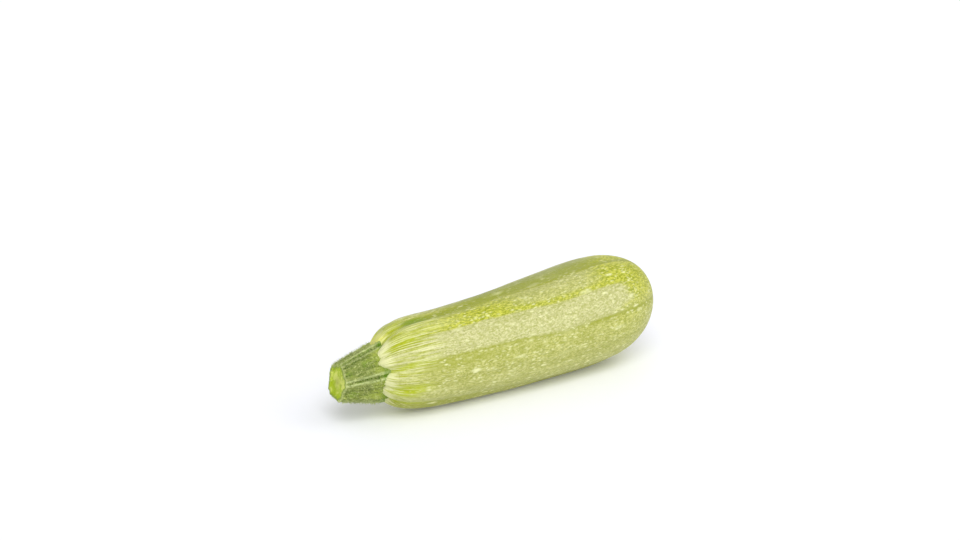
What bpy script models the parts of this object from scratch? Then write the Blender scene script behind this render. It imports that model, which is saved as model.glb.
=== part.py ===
"""A pale green courgette, picked and lying on its side.

The stem points to -X and the blossom end to +X, +Z is up, and the flat resting spot is at Z = 0.
Lengths are in metres. Along the fruit, "along" runs from 0, where the fruit starts under the stem,
to FRUIT_LENGTH at the blossom end, and it is negative on the stem that stands out of the fruit.
Angles go round the axis from the front (-Y) over the top (+Z).
"""

import math

import bmesh
import bpy
import numpy as np

# Driving dimensions of the fruit
FRUIT_LENGTH = 0.1576
BELLY_RADIUS = 0.0252
NECK_RADIUS = 0.0209
BELLY_STARTS = 0.0127
BELLY_FULL = 0.1316
SHOULDER_LENGTH = 0.0300
SHOULDER_POWER = 2.65
BLOSSOM_LENGTH = 0.0419
BLOSSOM_POWER = 2.33

# The centre line: ends raised and swept back from the middle, and the blossom end tipped up
END_RISE = 0.0021
END_SWEEP = 0.0035
BLOSSOM_LIFT = 0.0012
SPOT_DEPTH = 0.00042

# The shoulder grew askew: how far "along" rises for each step towards +Y and towards +Z
SHOULDER_SLANT = (0.33, 0.0)
SLANT_REACH = 0.030

# Five grooves part the lobes, and a fainter furrow runs down the middle of each lobe
LOBES = 5
GROOVE_ANGLE = math.radians(20)
GROOVE_TWIST = math.radians(-8)
TWIST_STARTS = 0.050
TWIST_ENDS = 0.095
GROOVE_HOOK = math.radians(-10)
HOOK_REACH = 0.020
LOBE_UNEVENNESS = 0.50
NARROW_LOBE_ANGLE = math.radians(50)
GROOVE_SHARPNESS = 5
FURROW_SHARPNESS = 3
GROOVE_DEPTH = 0.030
FURROW_DEPTH = 0.012
SHOULDER_GROOVE_DEPTH = 0.075
SHOULDER_FURROW_DEPTH = 0.030
GROOVE_REACH = 0.042
GROOVE_SINK = 0.0025
FURROW_SINK = 0.0011
SINK_REACH = 0.020
SINK_INNER_RADIUS = 0.0055
SINK_OUTER_RADIUS = 0.0115

# The corky scar that the flower left
SCAR_RADIUS = 0.0062
SCAR_RIM_WIDTH = 0.0011
SCAR_RIM_HEIGHT = 0.0007
SCAR_DISH = 0.0004
SCAR_NUB_RADIUS = 0.0011
SCAR_NUB_HEIGHT = 0.0006

# The stem: where it is cut, where its root ends inside the fruit, and its radius between them
STEM_OUT = 0.0171
STEM_JOINT = 0.0047
STEM_ROOT = 0.0125
STEM_CUT_RADIUS = 0.0085
STEM_JOINT_RADIUS = 0.0134
STEM_ROOT_RADIUS = 0.0125
STEM_ASIDE = 0.0009
STEM_BELOW = 0.0014
STEM_DROOP = 0.0008
STEM_RIDGE = 0.15
STEM_RIDGE_SHARPNESS = 1.6
STEM_RIDGE_MIDDLE = 0.45
STEM_RIDGE_NOTCH = 0.075
STEM_NOTCH_SHARPNESS = 22
STEM_RIB_COUNT = 12
STEM_RIB = 0.018
CUT_SLANT = (0.133, 0.155)
CUT_RIM = 0.86
CUT_DISH_EDGE = 0.81
CUT_HEART = 0.34
CUT_DISH = 0.0007
SOCKET_GAP = 0.0003

# Mesh density: points round each ring, and the step between rings along the outline
FRUIT_SIDES = 80
STEM_SIDES = 72
OUTLINE_SAMPLES = 4000
SHOULDER_STEP = 0.0016
SHOULDER_STEP_REACH = 0.063
MIDDLE_STEP = 0.0058
SCAR_STEP = 0.00062
SCAR_FINE_LENGTH = 0.0082
STEM_RINGS = 11

# Colours, as linear values, and the finish
FRUIT_COLOUR = (0.565, 0.600, 0.185, 1.0)
FRUIT_ROUGHNESS = 0.38
STEM_COLOUR = (0.225, 0.330, 0.090, 1.0)
STEM_ROUGHNESS = 0.62
SHARP_ANGLE = math.radians(40)


def ease(share):
    """0 to 1 with a soft start and end."""
    share = np.clip(share, 0.0, 1.0)
    return share * share * (3.0 - 2.0 * share)


def barrel_radius(along):
    """The radius that the fruit would have without its rounded ends."""
    swell = ease((along - BELLY_STARTS) / (BELLY_FULL - BELLY_STARTS))
    return NECK_RADIUS + (BELLY_RADIUS - NECK_RADIUS) * swell


def outline_radius(along):
    """The plain radius of the fruit, before its grooves."""
    from_tip = np.clip(1.0 - along / SHOULDER_LENGTH, 0.0, 1.0)
    to_tip = np.clip((along - FRUIT_LENGTH) / BLOSSOM_LENGTH + 1.0, 0.0, 1.0)
    shoulder = (1.0 - from_tip**SHOULDER_POWER) ** (1.0 / SHOULDER_POWER)
    blossom = (1.0 - to_tip**BLOSSOM_POWER) ** (1.0 / BLOSSOM_POWER)
    return barrel_radius(along) * shoulder * blossom


def centre_line(along):
    """(Y, Z) of the axis, set so that the underside lies along the surface."""
    ends = (2.0 * along / FRUIT_LENGTH - 1.0) ** 2
    tip = np.clip((along - FRUIT_LENGTH) / BLOSSOM_LENGTH + 1.0, 0.0, 1.0) ** 2
    rise = barrel_radius(along) - SPOT_DEPTH + END_RISE * ends + BLOSSOM_LIFT * tip
    return END_SWEEP * ends, rise


def lobe_phase(along, angle):
    """The angle counted in lobes: a whole turn of it from one groove to the next."""
    twist = GROOVE_TWIST * ease((along - TWIST_STARTS) / (TWIST_ENDS - TWIST_STARTS))
    hook = GROOVE_HOOK * (1.0 - ease(along / HOOK_REACH))
    groove = GROOVE_ANGLE + twist + hook
    uneven = np.sin(angle - NARROW_LOBE_ANGLE) - np.sin(groove - NARROW_LOBE_ANGLE)
    return LOBES * (angle - groove) + LOBE_UNEVENNESS * uneven


def valley(phase, sharpness):
    """1 at the bottom of each groove and 0 between grooves."""
    return (0.5 + 0.5 * np.cos(phase)) ** sharpness


def scar_relief(radius):
    """How far the blossom scar stands out: a raised rim round a shallow dish with a nub in its middle."""
    rim = SCAR_RIM_HEIGHT * np.exp(-(((radius - SCAR_RADIUS) / SCAR_RIM_WIDTH) ** 2))
    dish = SCAR_DISH * (1.0 - ease(radius / SCAR_RADIUS))
    nub = SCAR_NUB_HEIGHT * np.exp(-((radius / SCAR_NUB_RADIUS) ** 2))
    return rim - dish + nub


def fruit_point(along, angle):
    """A point on the fruit's skin."""
    phase = lobe_phase(along, angle)
    groove = valley(phase, GROOVE_SHARPNESS)
    furrow = valley(2.0 * phase, FURROW_SHARPNESS) * (1.0 - groove)
    near_stem = math.exp(-along / GROOVE_REACH)
    groove_depth = GROOVE_DEPTH + (SHOULDER_GROOVE_DEPTH - GROOVE_DEPTH) * near_stem
    furrow_depth = FURROW_DEPTH + (SHOULDER_FURROW_DEPTH - FURROW_DEPTH) * near_stem
    plain = float(outline_radius(along))
    towards_tip = ease((FRUIT_LENGTH - along) / BLOSSOM_LENGTH)
    fade = towards_tip * ease(plain / SINK_OUTER_RADIUS)
    radius = plain * (1.0 - fade * (groove_depth * groove + furrow_depth * furrow))
    under_stem = (plain - SINK_INNER_RADIUS) / (SINK_OUTER_RADIUS - SINK_INNER_RADIUS)
    sink = ease(under_stem) * (1.0 - ease(along / SINK_REACH))
    shift = sink * (GROOVE_SINK * groove + FURROW_SINK * furrow)
    if along > FRUIT_LENGTH / 2:
        shift += float(scar_relief(plain))
    across, rise = -radius * math.cos(angle), radius * math.sin(angle)
    fade_slant = float(1.0 - ease(along / SLANT_REACH))
    shift += fade_slant * (SHOULDER_SLANT[0] * across + SHOULDER_SLANT[1] * rise)
    y, z = centre_line(along)
    return along + shift - FRUIT_LENGTH / 2, float(y) + across, float(z) + rise


def fruit_stations():
    """Places along the axis for the rings, close together at the shoulder and at the scar."""
    turn = np.linspace(0.0, math.pi, OUTLINE_SAMPLES)
    along = FRUIT_LENGTH * (1.0 - np.cos(turn)) / 2
    radius = outline_radius(along)
    length = np.concatenate([[0.0], np.cumsum(np.hypot(np.diff(along), np.diff(radius)))])
    from_stem = ease(along / SHOULDER_STEP_REACH)
    to_scar = ease((length[-1] - length - SCAR_FINE_LENGTH) / BLOSSOM_LENGTH)
    step = SHOULDER_STEP + (MIDDLE_STEP - SHOULDER_STEP) * from_stem
    step = SCAR_STEP + (step - SCAR_STEP) * to_scar
    rings = np.concatenate([[0.0], np.cumsum(np.diff(length) / step[1:])])
    count = round(float(rings[-1]))
    return np.interp(np.linspace(0.0, rings[-1], count + 1)[1:-1], rings, along)


def stem_share(along):
    """0 where the stem leaves the fruit and 1 at its cut end."""
    return (STEM_JOINT - along) / (STEM_JOINT + STEM_OUT)


def stem_centre(along):
    """The stem stands a little aside of the fruit's axis and below it, and droops towards its cut end."""
    y, z = centre_line(STEM_JOINT)
    return float(y) + STEM_ASIDE, float(z) - STEM_BELOW - STEM_DROOP * stem_share(along)


def stem_radius(along, angle, extra):
    """The stem is five-cornered, each corner with a narrow notch, and finely ribbed."""
    share = stem_share(along)
    plain = STEM_JOINT_RADIUS + (STEM_CUT_RADIUS - STEM_JOINT_RADIUS) * max(share, 0.0)
    root = float(ease((along - STEM_JOINT) / (STEM_ROOT - STEM_JOINT)))
    plain += (STEM_ROOT_RADIUS - plain) * root
    phase = lobe_phase(0.0, angle)
    corner = valley(phase, STEM_RIDGE_SHARPNESS) - STEM_RIDGE_MIDDLE
    notch = valley(phase, STEM_NOTCH_SHARPNESS) * (1.0 - root)
    rib = math.cos(STEM_RIB_COUNT * (angle - GROOVE_ANGLE))
    section = 1.0 + STEM_RIDGE * corner - STEM_RIDGE_NOTCH * notch + STEM_RIB * rib
    return plain * section + extra


def stem_point(along, angle, share=1.0, extra=0.0, raised=0.0):
    """A point at a share of the stem's radius, on rings as slanted as the shoulder and then as the cut."""
    y, z = stem_centre(along)
    radius = stem_radius(along, angle, extra) * share
    across, rise = -radius * math.cos(angle), radius * math.sin(angle)
    out = min(max(stem_share(along), 0.0), 1.0)
    slant = [a + (b - a) * out for a, b in zip(SHOULDER_SLANT, CUT_SLANT)]
    shift = slant[0] * across + slant[1] * rise + raised
    return along + shift - FRUIT_LENGTH / 2, y + across, z + rise


def angles(sides):
    return [2.0 * math.pi * side / sides for side in range(sides)]


def closed_loft(name, rings, first, last):
    """A closed mesh through rings of points, ending in a single point at each end."""
    mesh = bpy.data.meshes.new(name)
    form = bmesh.new()
    loops = [[form.verts.new(point) for point in ring] for ring in rings]
    for near, far in zip(loops, loops[1:]):
        for side in range(len(near)):
            after = (side + 1) % len(near)
            form.faces.new((near[side], near[after], far[after], far[side]))
    for tip, loop in ((form.verts.new(first), loops[0]), (form.verts.new(last), loops[-1])):
        for side in range(len(loop)):
            form.faces.new((tip, loop[side], loop[(side + 1) % len(loop)]))
    bmesh.ops.recalc_face_normals(form, faces=form.faces)
    form.to_mesh(mesh)
    form.free()
    solid = bpy.data.objects.new(name, mesh)
    bpy.context.scene.collection.objects.link(solid)
    return solid


def cut_resting_spot(solid):
    """Takes off what reaches below Z = 0 and closes the cut, which leaves a small flat spot."""
    form = bmesh.new()
    form.from_mesh(solid.data)
    everything = form.verts[:] + form.edges[:] + form.faces[:]
    cut = bmesh.ops.bisect_plane(
        form, geom=everything, dist=1e-7, plane_co=(0, 0, 0), plane_no=(0, 0, 1), clear_inner=True
    )
    edges = [item for item in cut["geom_cut"] if isinstance(item, bmesh.types.BMEdge)]
    bmesh.ops.edgeloop_fill(form, edges=edges)
    bmesh.ops.recalc_face_normals(form, faces=form.faces)
    form.to_mesh(solid.data)
    form.free()


def make_fruit():
    rings = [
        [fruit_point(float(along), angle) for angle in angles(FRUIT_SIDES)]
        for along in fruit_stations()
    ]
    first = fruit_point(0.0, 0.0)
    last = fruit_point(FRUIT_LENGTH, 0.0)
    fruit = closed_loft("fruit", rings, first, last)
    cut_resting_spot(fruit)
    return fruit


def make_stem(name, extra):
    """The stem from its root inside the fruit to its cut end. extra makes it fatter and its root longer."""
    places = np.linspace(STEM_ROOT + extra, -STEM_OUT, STEM_RINGS)
    rings = [
        [stem_point(float(along), angle, extra=extra) for angle in angles(STEM_SIDES)]
        for along in places
    ]
    for share, raised in ((CUT_RIM, 0.0), (CUT_DISH_EDGE, CUT_DISH), (CUT_HEART, CUT_DISH)):
        rings.append(
            [stem_point(-STEM_OUT, angle, share, extra, raised) for angle in angles(STEM_SIDES)]
        )
    first = stem_point(STEM_ROOT + extra, 0.0, share=0.0)
    last = stem_point(-STEM_OUT, 0.0, share=0.0, raised=CUT_DISH / 2)
    return closed_loft(name, rings, first, last)


def cut_socket(fruit):
    """Opens the fruit's stem end by a fatter copy of the stem, so that the stem sits in it with a fine gap."""
    cutter = make_stem("stem_socket_cutter", SOCKET_GAP)
    cutter.hide_render = True
    cutter.display_type = "WIRE"
    socket = fruit.modifiers.new("Stem socket", "BOOLEAN")
    socket.operation = "DIFFERENCE"
    socket.solver = "EXACT"
    socket.object = cutter


def centre_on_origin(solids):
    """Moves everything so that the middle of the whole length and width is over the origin."""
    bpy.context.view_layer.update()
    points = [vertex.co for solid in solids for vertex in solid.data.vertices]
    middle = [(min(p[i] for p in points) + max(p[i] for p in points)) / 2 for i in (0, 1)]
    for item in bpy.data.objects:
        item.location = (-middle[0], -middle[1], 0.0)


def finish(solid, colour, roughness):
    """Smooth shading with sharp edges kept, and the plain colour."""
    material = bpy.data.materials.new(solid.name)
    material.use_nodes = True
    shader = material.node_tree.nodes["Principled BSDF"]
    shader.inputs["Base Color"].default_value = colour
    shader.inputs["Roughness"].default_value = roughness
    shader.inputs["Metallic"].default_value = 0.0
    solid.data.materials.append(material)
    solid.data.shade_smooth()
    solid.data.set_sharp_from_angle(angle=SHARP_ANGLE)


def main():
    for item in list(bpy.data.objects):
        bpy.data.objects.remove(item, do_unlink=True)
    fruit = make_fruit()
    stem = make_stem("stem", 0.0)
    cut_socket(fruit)
    centre_on_origin((fruit, stem))
    finish(fruit, FRUIT_COLOUR, FRUIT_ROUGHNESS)
    finish(stem, STEM_COLOUR, STEM_ROUGHNESS)


main()
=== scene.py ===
"""A pale green courgette lying on its side: its skin, stem and stem hairs, with floor, light and camera.

The stem points to -X and the blossom end to +X, +Z is up, and lengths are in metres. "along" runs from 0
under the stem to FRUIT_LENGTH at the blossom end. Angles go round the axis from the front (-Y) over the top
(+Z). "turned" and "raised" are the cosine and sine of that angle.
"""

import math

import bpy
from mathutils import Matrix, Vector


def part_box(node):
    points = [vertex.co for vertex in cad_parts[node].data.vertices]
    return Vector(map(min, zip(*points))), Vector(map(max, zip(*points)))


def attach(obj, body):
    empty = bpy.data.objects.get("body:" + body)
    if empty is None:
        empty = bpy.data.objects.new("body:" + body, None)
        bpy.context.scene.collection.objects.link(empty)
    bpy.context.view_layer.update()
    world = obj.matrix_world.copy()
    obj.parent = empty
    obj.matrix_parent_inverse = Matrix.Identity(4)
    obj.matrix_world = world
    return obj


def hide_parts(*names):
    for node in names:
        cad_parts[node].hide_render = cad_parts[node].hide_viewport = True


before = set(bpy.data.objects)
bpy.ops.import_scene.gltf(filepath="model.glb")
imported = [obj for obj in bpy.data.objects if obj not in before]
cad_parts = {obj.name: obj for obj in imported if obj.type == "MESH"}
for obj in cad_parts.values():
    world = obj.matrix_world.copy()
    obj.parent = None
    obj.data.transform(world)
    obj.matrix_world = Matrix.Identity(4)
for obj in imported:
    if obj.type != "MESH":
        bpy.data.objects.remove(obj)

# The fruit, as in the part's source
FRUIT_LENGTH = 0.1576
BELLY_RADIUS = 0.0252
NECK_RADIUS = 0.0209
BELLY_STARTS = 0.0127
BELLY_FULL = 0.1316
SHOULDER_LENGTH = 0.0300
SHOULDER_POWER = 2.65
BLOSSOM_LENGTH = 0.0419
BLOSSOM_POWER = 2.33
END_RISE = 0.0021
END_SWEEP = 0.0035
BLOSSOM_LIFT = 0.0012
SPOT_DEPTH = 0.00042
SHOULDER_SLANT = (0.33, 0.0)
SLANT_REACH = 0.030

# Its lobes and grooves, as there, but for FURROW_SINK: the solid's furrows sink 0.0011
LOBES = 5
GROOVE_ANGLE = math.radians(20)
GROOVE_TWIST = math.radians(-8)
TWIST_STARTS = 0.050
TWIST_ENDS = 0.095
GROOVE_HOOK = math.radians(-10)
HOOK_REACH = 0.020
LOBE_UNEVENNESS = 0.50
NARROW_LOBE_ANGLE = math.radians(50)
GROOVE_SHARPNESS = 5
FURROW_SHARPNESS = 3
GROOVE_DEPTH = 0.030
FURROW_DEPTH = 0.012
SHOULDER_GROOVE_DEPTH = 0.075
SHOULDER_FURROW_DEPTH = 0.030
GROOVE_REACH = 0.042
GROOVE_SINK = 0.0025
FURROW_SINK = 0.0007
SINK_REACH = 0.020
SINK_INNER_RADIUS = 0.0055
SINK_OUTER_RADIUS = 0.0115

# The blossom scar, as there
SCAR_RADIUS = 0.0062
SCAR_RIM_WIDTH = 0.0011
SCAR_RIM_HEIGHT = 0.0007
SCAR_DISH = 0.0004
SCAR_NUB_RADIUS = 0.0011
SCAR_NUB_HEIGHT = 0.0006

# The stem, as there
STEM_OUT = 0.0171
STEM_JOINT = 0.0047
STEM_ROOT = 0.0125
STEM_CUT_RADIUS = 0.0085
STEM_JOINT_RADIUS = 0.0134
STEM_ROOT_RADIUS = 0.0125
STEM_ASIDE = 0.0009
STEM_BELOW = 0.0014
STEM_DROOP = 0.0008
STEM_RIDGE = 0.15
STEM_RIDGE_SHARPNESS = 1.6
STEM_RIDGE_MIDDLE = 0.45
STEM_RIDGE_NOTCH = 0.075
STEM_NOTCH_SHARPNESS = 22
STEM_RIB_COUNT = 12
STEM_RIB = 0.018
CUT_SLANT = (0.133, 0.155)
CUT_RIM = 0.86
CUT_DISH_EDGE = 0.81
CUT_HEART = 0.34
CUT_DISH = 0.0007

# What the finer skin adds, all of it inwards, so that the fruit stays inside its solid
SWELL_SIZE = 55.0
SWELL_DEPTH = 0.00025
DIMPLE_SIZE = 210.0
DIMPLE_DEPTH = 0.00010
STREAK_CIRCLE = 6.5
STREAK_WAVES = 34.0
STREAK_DEPTH = 0.00030
STREAK_REACH = 0.046

# The finer stem: fine ridges, a softened cut edge and a torn rim
RIDGE_CIRCLE = 5.5
RIDGE_WAVES = 40.0
RIDGE_DEPTH = 0.0007
PIMPLE_SIZE = 900.0
PIMPLE_DEPTH = 0.00040
HOLLOW_NOISE = (0.66, 0.36)
CUT_EDGE_SOFT = 0.03
CUT_TEAR = 0.00035
CUT_TEAR_STARTS = 0.97

# Mesh density, and where on the ball the parts of each outline begin
FRUIT_SIDES = 220
FRUIT_RINGS = 330
SHOULDER_SHARE = 0.31
BLOSSOM_SHARE = 0.57
STEM_SIDES = 200
STEM_RINGS = 120
ROOT_SHARE = 0.03
CUT_SHARE = 0.72
STEM_START = 0.0090

# Stem hairs
HAIR_COUNT_PER_AREA = 4.8e6
HAIR_LENGTH = 0.0014
HAIR_RADIUS = 0.00010
HAIR_SIDES = 3
HAIR_TILT = 0.75
HAIR_FREE_EDGE = 0.0010
HAIR_STARTS = 0.0010
HAIR_FEWEST = 0.35
HAIR_SIZES = (0.45, 1.2)
HAIR_SEED = 7

# The camera, fitted to the outline
CAMERA_HEIGHT_ANGLE = math.radians(17.0)
CAMERA_TURN = math.radians(38.206)
CAMERA_DISTANCE = 1.095709
CAMERA_TARGET = (0.04406, 0.06954, 0.0300)
CAMERA_LENS = 85.0
CAMERA_REACH = 20.0


class Value:
    """One output of a node tree, used in Python sums: each operation adds its Math node."""

    def __init__(self, nodes, socket):
        self.nodes = nodes
        self.socket = socket

    def maths(self, operation, *values):
        return self.nodes.add("ShaderNodeMath", {"operation": operation}, dict(enumerate(values)))

    def output(self, name):
        """Another output of the same node."""
        return Value(self.nodes, find(self.socket.node.outputs, name))

    def __add__(self, other):
        return self.maths("ADD", self, other)

    def __radd__(self, other):
        return self.maths("ADD", other, self)

    def __sub__(self, other):
        return self.maths("SUBTRACT", self, other)

    def __rsub__(self, other):
        return self.maths("SUBTRACT", other, self)

    def __mul__(self, other):
        return self.maths("MULTIPLY", self, other)

    def __rmul__(self, other):
        return self.maths("MULTIPLY", other, self)

    def __truediv__(self, other):
        return self.maths("DIVIDE", self, other)

    def __pow__(self, other):
        return self.maths("POWER", self, other)


class Nodes:
    """A node tree that is filled from Python."""

    def __init__(self, tree):
        self.tree = tree

    def add(self, kind, settings, values, output=0):
        """Adds a node of a kind, with its settings and the values or links of its sockets."""
        node = self.tree.nodes.new(kind)
        for name, setting in settings.items():
            setattr(node, name, setting)
        for key, value in values.items():
            socket = find(node.inputs, key)
            if isinstance(value, Value):
                self.tree.links.new(value.socket, socket)
            else:
                socket.default_value = value
        return Value(self, find(node.outputs, output))

    def vector(self, x, y, z):
        return self.add("ShaderNodeCombineXYZ", {}, {0: x, 1: y, 2: z})

    def parts(self, vector):
        first = self.add("ShaderNodeSeparateXYZ", {}, {0: vector})
        return first, first.output("Y"), first.output("Z")

    def ease(self, value, start, end):
        """0 at start and 1 at end, with a soft start and end."""
        settings = {"interpolation_type": "SMOOTHSTEP"}
        return self.add("ShaderNodeMapRange", settings, {0: value, 1: start, 2: end})

    def share(self, value, start, end):
        """0 at start and 1 at end, in a straight line."""
        return self.add("ShaderNodeMapRange", {}, {0: value, 1: start, 2: end})

    def noise(self, place, size, detail=2.0, roughness=0.5):
        """Soft noise from 0 to 1, mostly near 0.5. size is in waves per unit of place."""
        values = {"Vector": place, "Scale": size, "Detail": detail, "Roughness": roughness}
        return self.add("ShaderNodeTexNoise", {}, values)

    def mix(self, share, first, second):
        """From the first colour to the second."""
        values = {"Factor_Float": share, "A_Color": first, "B_Color": second}
        return self.add("ShaderNodeMix", {"data_type": "RGBA"}, values, "Result_Color")


def find(sockets, key):
    """A socket by its number, its identifier or its name."""
    if isinstance(key, int):
        return sockets[key]
    return next(socket for socket in sockets if key in (socket.identifier, socket.name))


def colour(red, green, blue):
    """A colour given as on a screen, 0 to 255, as linear light."""
    light = []
    for level in (red, green, blue):
        level = level / 255.0
        light.append(level / 12.92 if level <= 0.04045 else ((level + 0.055) / 1.055) ** 2.4)
    return (*light, 1.0)


# Sums that both the fruit and the stem use


def sine(angle):
    return angle.maths("SINE", angle) if isinstance(angle, Value) else math.sin(angle)


def cosine(angle):
    return angle.maths("COSINE", angle)


def exponent(power):
    return power.maths("EXPONENT", power)


def lobe_phase(angle, groove):
    """The angle counted in lobes: a whole turn of it from one groove to the next."""
    uneven = sine(angle - NARROW_LOBE_ANGLE) - sine(groove - NARROW_LOBE_ANGLE)
    return (angle - groove) * LOBES + uneven * LOBE_UNEVENNESS


def valley(phase, sharpness):
    """1 at the bottom of each groove and 0 between grooves."""
    return (0.5 + 0.5 * cosine(phase)) ** sharpness


def ball_places(nodes):
    """Each point of a ball as its share of the way from pole to pole, and its angle round the axis."""
    x, y, z = nodes.parts(nodes.add("GeometryNodeInputPosition", {}, {}))
    share = z.maths("ARCCOSINE", z) * (1.0 / math.pi)
    return share, y.maths("ARCTAN2", y, x)


# Geometry Nodes trees


def new_shape_tree(name, inputs):
    """An empty tree with named inputs, and those inputs as values."""
    tree = bpy.data.node_groups.new(name, "GeometryNodeTree")
    tree.interface.new_socket("Geometry", in_out="OUTPUT", socket_type="NodeSocketGeometry")
    for label, kind in inputs:
        tree.interface.new_socket(label, in_out="INPUT", socket_type=kind)
    nodes = Nodes(tree)
    first = nodes.add("NodeGroupInput", {}, {})
    return nodes, {label: first.output(label) for label, _ in inputs}


def close_shape_tree(nodes, geometry, finish):
    """Ends a tree in Realize Instances and Set Material."""
    solid = nodes.add("GeometryNodeRealizeInstances", {}, {"Geometry": geometry})
    smooth = nodes.add("GeometryNodeSetShadeSmooth", {}, {"Geometry": solid})
    dressed = nodes.add("GeometryNodeSetMaterial", {}, {"Geometry": smooth, "Material": finish})
    last = nodes.tree.nodes.new("NodeGroupOutput")
    nodes.tree.links.new(dressed.socket, last.inputs["Geometry"])


def keep_vector(nodes, geometry, name, vector):
    """Keeps a vector on the points, which the material reads."""
    settings = {"data_type": "FLOAT_VECTOR", "domain": "POINT"}
    values = {"Geometry": geometry, "Name": name, "Value": vector}
    return nodes.add("GeometryNodeStoreNamedAttribute", settings, values)


def ball(nodes, given):
    values = {"Segments": given["Sides"], "Rings": given["Rings"], "Radius": 1.0}
    return nodes.add("GeometryNodeMeshUVSphere", {}, values, "Mesh")


FRUIT_INPUTS = (
    ("Length", "NodeSocketFloat", FRUIT_LENGTH),
    ("Belly radius", "NodeSocketFloat", BELLY_RADIUS),
    ("Neck radius", "NodeSocketFloat", NECK_RADIUS),
    ("Groove depth", "NodeSocketFloat", GROOVE_DEPTH),
    ("Furrow depth", "NodeSocketFloat", FURROW_DEPTH),
    ("Sides", "NodeSocketInt", FRUIT_SIDES),
    ("Rings", "NodeSocketInt", FRUIT_RINGS),
    ("Finish", "NodeSocketMaterial", None),
)


def groove_angle(nodes, along):
    """The direction of the front groove, which twists a little along the fruit."""
    twist = nodes.ease(along, TWIST_STARTS, TWIST_ENDS) * GROOVE_TWIST
    hook = nodes.ease(along, HOOK_REACH, 0.0) * GROOVE_HOOK
    return twist + hook + GROOVE_ANGLE


def scar_relief(nodes, radius):
    """A raised rim round a shallow dish with a nub in its middle."""
    rim = exponent(((radius - SCAR_RADIUS) / SCAR_RIM_WIDTH) ** 2.0 * -1.0) * SCAR_RIM_HEIGHT
    dish = nodes.ease(radius, SCAR_RADIUS, 0.0) * SCAR_DISH
    nub = exponent((radius / SCAR_NUB_RADIUS) ** 2.0 * -1.0) * SCAR_NUB_HEIGHT
    return rim - dish + nub


def skin_depth(nodes, turned, raised, along, plain):
    """How far the finer skin lies inside the plain form: swells, dimples and streaks off the shoulder.

    The streaks' noise is read on a circle round the axis, so that it is drawn out along the fruit.
    """
    place = nodes.vector(turned * plain, raised * plain, along)
    swell = nodes.noise(place, SWELL_SIZE, detail=1.0) * SWELL_DEPTH
    dimple = nodes.noise(place, DIMPLE_SIZE, detail=2.0) * DIMPLE_DEPTH
    lengthwise = nodes.vector(turned * STREAK_CIRCLE, raised * STREAK_CIRCLE, along * STREAK_WAVES)
    near_stem = nodes.ease(along, STREAK_REACH, 0.0)
    streak = nodes.noise(lengthwise, 1.0, detail=2.0) * near_stem * STREAK_DEPTH
    return swell + dimple + streak


def fruit_outline(nodes, given, share):
    """The way along the fruit, the barrel's radius, the plain radius, and the share of the blossom tip."""
    shoulder = nodes.share(share, 0.0, SHOULDER_SHARE) * (math.pi / 2)
    blossom = nodes.share(share, 1.0, BLOSSOM_SHARE) * (math.pi / 2)
    middle = nodes.share(share, SHOULDER_SHARE, BLOSSOM_SHARE)
    from_tip = cosine(shoulder) ** (2.0 / SHOULDER_POWER)
    to_tip = cosine(blossom) ** (2.0 / BLOSSOM_POWER)
    straight = given["Length"] - (SHOULDER_LENGTH + BLOSSOM_LENGTH)
    along = (1.0 - from_tip) * SHOULDER_LENGTH + straight * middle + to_tip * BLOSSOM_LENGTH
    swelling = given["Belly radius"] - given["Neck radius"]
    barrel = given["Neck radius"] + swelling * nodes.ease(along, BELLY_STARTS, BELLY_FULL)
    rounding = sine(shoulder) ** (2.0 / SHOULDER_POWER) * sine(blossom) ** (2.0 / BLOSSOM_POWER)
    return along, barrel, barrel * rounding, to_tip


def lobe_hollow(nodes, given, along, plain, groove, furrow):
    """The share of the plain radius that grooves and furrows take away."""
    near_stem = exponent(along * (-1.0 / GROOVE_REACH))
    groove_depth = given["Groove depth"] + (SHOULDER_GROOVE_DEPTH - given["Groove depth"]) * near_stem
    furrow_depth = given["Furrow depth"] + (SHOULDER_FURROW_DEPTH - given["Furrow depth"]) * near_stem
    to_blossom = nodes.ease(given["Length"] - along, 0.0, BLOSSOM_LENGTH)
    fade = to_blossom * nodes.ease(plain, 0.0, SINK_OUTER_RADIUS)
    return (groove_depth * groove + furrow_depth * furrow) * fade


def end_relief(nodes, along, plain, groove, furrow):
    """How far the ends move along the fruit: sinks round the stem, and the scar at the blossom."""
    under_stem = nodes.ease(plain, SINK_INNER_RADIUS, SINK_OUTER_RADIUS)
    sink = under_stem * nodes.ease(along, SINK_REACH, 0.0)
    blossom_half = nodes.share(along, FRUIT_LENGTH / 2, FRUIT_LENGTH / 2 + SCAR_RADIUS)
    sinks = sink * (groove * GROOVE_SINK + furrow * FURROW_SINK)
    return sinks + scar_relief(nodes, plain) * blossom_half


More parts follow.
